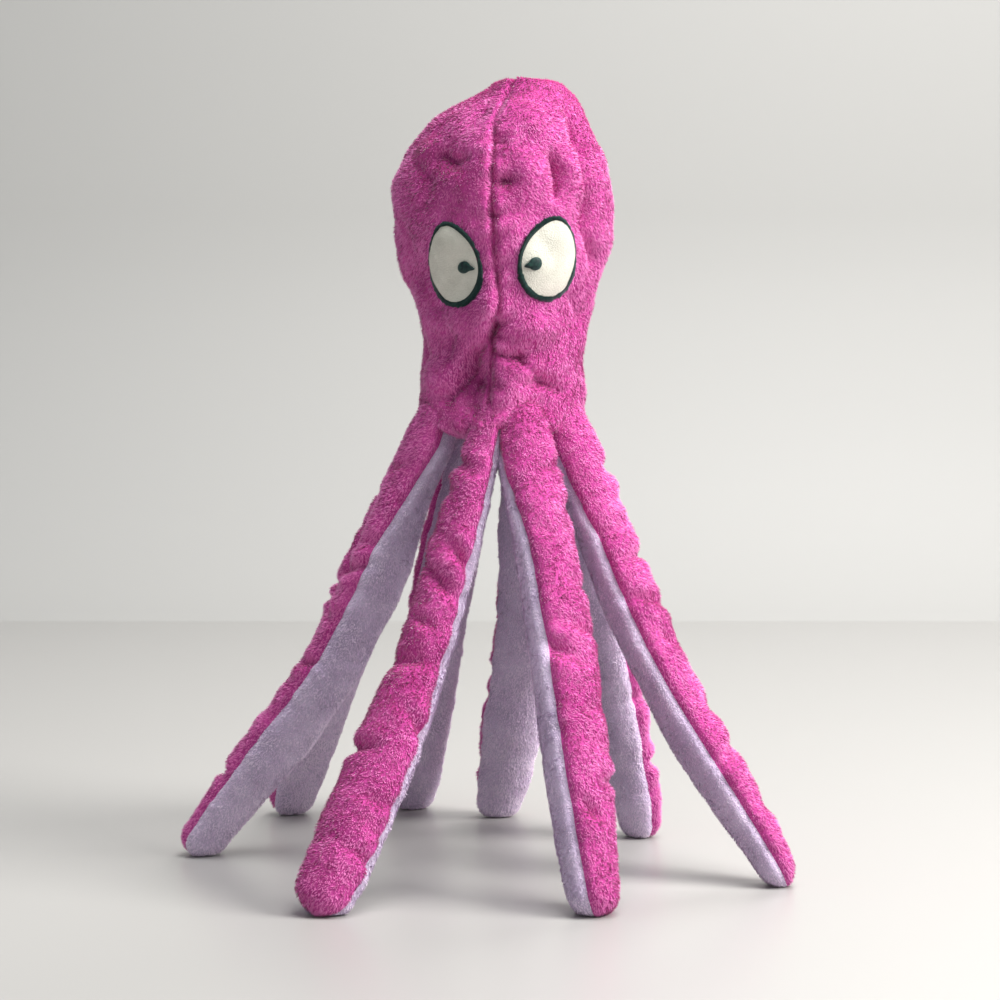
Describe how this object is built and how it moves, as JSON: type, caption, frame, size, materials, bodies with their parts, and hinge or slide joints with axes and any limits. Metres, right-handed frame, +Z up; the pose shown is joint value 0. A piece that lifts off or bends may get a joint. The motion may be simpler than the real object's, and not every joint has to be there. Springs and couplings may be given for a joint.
{
  "type": "plush octopus toy",
  "caption": "Plush octopus toy with a bag-shaped head, stitched eyes and stuffed tentacles that bend at root and middle.",
  "frame": {"origin": "on the floor, under the middle of the toy's bounding box", "axes": "+Z up through the neck and head, -Y the way the face looks, +X to the right of someone facing the toy"},
  "size_m": [0.2487, 0.2381, 0.32],
  "materials": {
    "plush_magenta": "matte",
    "plush_lilac": "matte",
    "stuffing": "matte",
    "eye_felt": "matte",
    "eye_thread": "satin"
  },
  "bodies": {
    "base": {"neck_sleeve": "plush_magenta", "base_panel": "plush_magenta"},
    "head": {"head_panel_left": "plush_magenta", "head_panel_right": "plush_magenta", "head_filling": "stuffing", "eye_white_left": "eye_felt", "eye_rim_left": "eye_thread", "eye_pupil_left": "eye_thread", "eye_white_right": "eye_felt", "eye_rim_right": "eye_thread", "eye_pupil_right": "eye_thread"},
    "tentacle_1_top": {"tentacle_1_top_outer": "plush_magenta", "tentacle_1_top_inner": "plush_lilac", "tentacle_1_top_filling": "stuffing"},
    "tentacle_1_tip": {"tentacle_1_tip_outer": "plush_magenta", "tentacle_1_tip_inner": "plush_lilac", "tentacle_1_tip_filling": "stuffing"},
    "tentacle_2_top": {"tentacle_2_top_outer": "plush_magenta", "tentacle_2_top_inner": "plush_lilac", "tentacle_2_top_filling": "stuffing"},
    "tentacle_2_tip": {"tentacle_2_tip_outer": "plush_magenta", "tentacle_2_tip_inner": "plush_lilac", "tentacle_2_tip_filling": "stuffing"},
    "tentacle_3_top": {"tentacle_3_top_outer": "plush_magenta", "tentacle_3_top_inner": "plush_lilac", "tentacle_3_top_filling": "stuffing"},
    "tentacle_3_tip": {"tentacle_3_tip_outer": "plush_magenta", "tentacle_3_tip_inner": "plush_lilac", "tentacle_3_tip_filling": "stuffing"},
    "tentacle_4_top": {"tentacle_4_top_outer": "plush_magenta", "tentacle_4_top_inner": "plush_lilac", "tentacle_4_top_filling": "stuffing"},
    "tentacle_4_tip": {"tentacle_4_tip_outer": "plush_magenta", "tentacle_4_tip_inner": "plush_lilac", "tentacle_4_tip_filling": "stuffing"},
    "tentacle_5_top": {"tentacle_5_top_outer": "plush_magenta", "tentacle_5_top_inner": "plush_lilac", "tentacle_5_top_filling": "stuffing"},
    "tentacle_5_tip": {"tentacle_5_tip_outer": "plush_magenta", "tentacle_5_tip_inner": "plush_lilac", "tentacle_5_tip_filling": "stuffing"},
    "tentacle_6_top": {"tentacle_6_top_outer": "plush_magenta", "tentacle_6_top_inner": "plush_lilac", "tentacle_6_top_filling": "stuffing"},
    "tentacle_6_tip": {"tentacle_6_tip_outer": "plush_magenta", "tentacle_6_tip_inner": "plush_lilac", "tentacle_6_tip_filling": "stuffing"},
    "tentacle_7_top": {"tentacle_7_top_outer": "plush_magenta", "tentacle_7_top_inner": "plush_lilac", "tentacle_7_top_filling": "stuffing"},
    "tentacle_7_tip": {"tentacle_7_tip_outer": "plush_magenta", "tentacle_7_tip_inner": "plush_lilac", "tentacle_7_tip_filling": "stuffing"},
    "tentacle_8_top": {"tentacle_8_top_outer": "plush_magenta", "tentacle_8_top_inner": "plush_lilac", "tentacle_8_top_filling": "stuffing"},
    "tentacle_8_tip": {"tentacle_8_tip_outer": "plush_magenta", "tentacle_8_tip_inner": "plush_lilac", "tentacle_8_tip_filling": "stuffing"}
  },
  "joints": [
    {"name": "head_nod", "type": "hinge", "parent": "base", "child": "head", "pos_m": [0.0075, 0.001, 0.207], "axis": [1, 0, 0], "range_deg": [-20, 20]},
    {"name": "tentacle_1_root", "type": "hinge", "parent": "base", "child": "tentacle_1_top", "pos_m": [-0.00436, -0.02764, 0.173], "axis": [-0.8487, 0.5281, -0.0283], "range_deg": [-10, 60]},
    {"name": "tentacle_1_bend", "type": "hinge", "parent": "tentacle_1_top", "child": "tentacle_1_tip", "pos_m": [-0.02372, -0.0634, 0.0861], "axis": [0.8317, -0.5547, -0.0254], "range_deg": [-35, 40]},
    {"name": "tentacle_2_root", "type": "hinge", "parent": "base", "child": "tentacle_2_top", "pos_m": [0.01936, -0.02764, 0.173], "axis": [-0.9629, -0.2695, -0.0145], "range_deg": [-10, 60]},
    {"name": "tentacle_2_bend", "type": "hinge", "parent": "tentacle_2_top", "child": "tentacle_2_tip", "pos_m": [0.03164, -0.06707, 0.09019], "axis": [0.9668, 0.2552, -0.0143], "range_deg": [-35, 40]},
    {"name": "tentacle_3_root", "type": "hinge", "parent": "base", "child": "tentacle_3_top", "pos_m": [0.03614, -0.01086, 0.173], "axis": [-0.5234, -0.8521, 0], "range_deg": [-10, 60]},
    {"name": "tentacle_3_bend", "type": "hinge", "parent": "tentacle_3_top", "child": "tentacle_3_tip", "pos_m": [0.06937, -0.03127, 0.08675], "axis": [0.5234, 0.8521, 0], "range_deg": [-35, 40]},
    {"name": "tentacle_4_root", "type": "hinge", "parent": "base", "child": "tentacle_4_top", "pos_m": [0.03614, 0.01286, 0.173], "axis": [0.6678, -0.7443, 0], "range_deg": [-6, 60]},
    {"name": "tentacle_4_bend", "type": "hinge", "parent": "tentacle_4_top", "child": "tentacle_4_tip", "pos_m": [0.0511, 0.02628, 0.0904], "axis": [-0.6678, 0.7443, 0], "range_deg": [-35, 40]},
    {"name": "tentacle_5_root", "type": "hinge", "parent": "base", "child": "tentacle_5_top", "pos_m": [0.01936, 0.02964, 0.173], "axis": [0.9825, 0.1782, 0.054], "range_deg": [-6, 60]},
    {"name": "tentacle_5_bend", "type": "hinge", "parent": "tentacle_5_top", "child": "tentacle_5_tip", "pos_m": [0.01889, 0.05754, 0.08962], "axis": [-0.9748, -0.2167, 0.0527], "range_deg": [-35, 40]},
    {"name": "tentacle_6_root", "type": "hinge", "parent": "base", "child": "tentacle_6_top", "pos_m": [-0.00436, 0.02964, 0.173], "axis": [0.9366, 0.3488, -0.0344], "range_deg": [-6, 60]},
    {"name": "tentacle_6_bend", "type": "hinge", "parent": "tentacle_6_top", "child": "tentacle_6_tip", "pos_m": [-0.02054, 0.06479, 0.08883], "axis": [-0.9481, -0.3164, -0.0329], "range_deg": [-35, 40]},
    {"name": "tentacle_7_root", "type": "hinge", "parent": "base", "child": "tentacle_7_top", "pos_m": [-0.02114, 0.01286, 0.173], "axis": [0.7467, 0.6604, -0.0796], "range_deg": [-8, 52]},
    {"name": "tentacle_7_bend", "type": "hinge", "parent": "tentacle_7_top", "child": "tentacle_7_tip", "pos_m": [-0.05871, 0.04515, 0.08851], "axis": [-0.8083, -0.584, -0.0756], "range_deg": [-35, 40]},
    {"name": "tentacle_8_root", "type": "hinge", "parent": "base", "child": "tentacle_8_top", "pos_m": [-0.02114, -0.01086, 0.173], "axis": [0.1261, 0.992, 0], "range_deg": [-10, 60]},
    {"name": "tentacle_8_bend", "type": "hinge", "parent": "tentacle_8_top", "child": "tentacle_8_tip", "pos_m": [-0.05835, -0.00614, 0.08519], "axis": [-0.1261, -0.992, 0], "range_deg": [-35, 40]}
  ]
}
